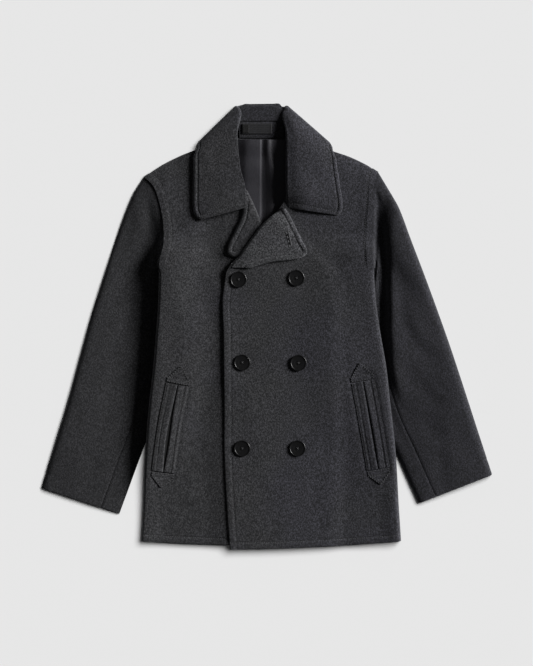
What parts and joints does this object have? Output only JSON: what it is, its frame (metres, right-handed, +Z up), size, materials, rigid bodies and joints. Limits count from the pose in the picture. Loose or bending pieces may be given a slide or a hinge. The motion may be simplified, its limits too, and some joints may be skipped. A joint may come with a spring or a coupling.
{
  "type": "pea coat",
  "caption": "Double-breasted wool pea coat laid flat and closed, with a wide turned-down collar, lapels, slanted hand pockets, long sleeves and round buttons.",
  "frame": {"origin": "the point on the surface that the coat lies on, under the middle of its whole outline", "axes": "+Z up from the surface, +Y along the back towards the collar, +X towards the wearer's left side"},
  "size_m": [0.8338, 0.8225, 0.0252],
  "materials": {
    "wool": "matte",
    "lining": "satin",
    "loop": "matte",
    "button": "gloss"
  },
  "bodies": {
    "root": {"back": "wool", "front_left": "wool", "front_right": "wool", "lapel_left": "wool", "lapel_right": "wool", "collar_fall": "wool", "collar_stand": "wool", "sleeve_left_upper": "wool", "sleeve_left_under": "wool", "sleeve_right_upper": "wool", "sleeve_right_under": "wool", "pocket_left_front_welt": "wool", "pocket_left_back_welt": "wool", "pocket_right_front_welt": "wool", "pocket_right_back_welt": "wool", "pocket_left_top_tack": "wool", "pocket_left_bottom_tack": "wool", "pocket_right_top_tack": "wool", "pocket_right_bottom_tack": "wool", "lining_back": "lining", "hanger_loop": "loop", "button_upper_left": "button", "button_upper_right": "button", "button_middle_left": "button", "button_middle_right": "button", "button_lower_left": "button", "button_lower_right": "button"}
  },
  "joints": []
}
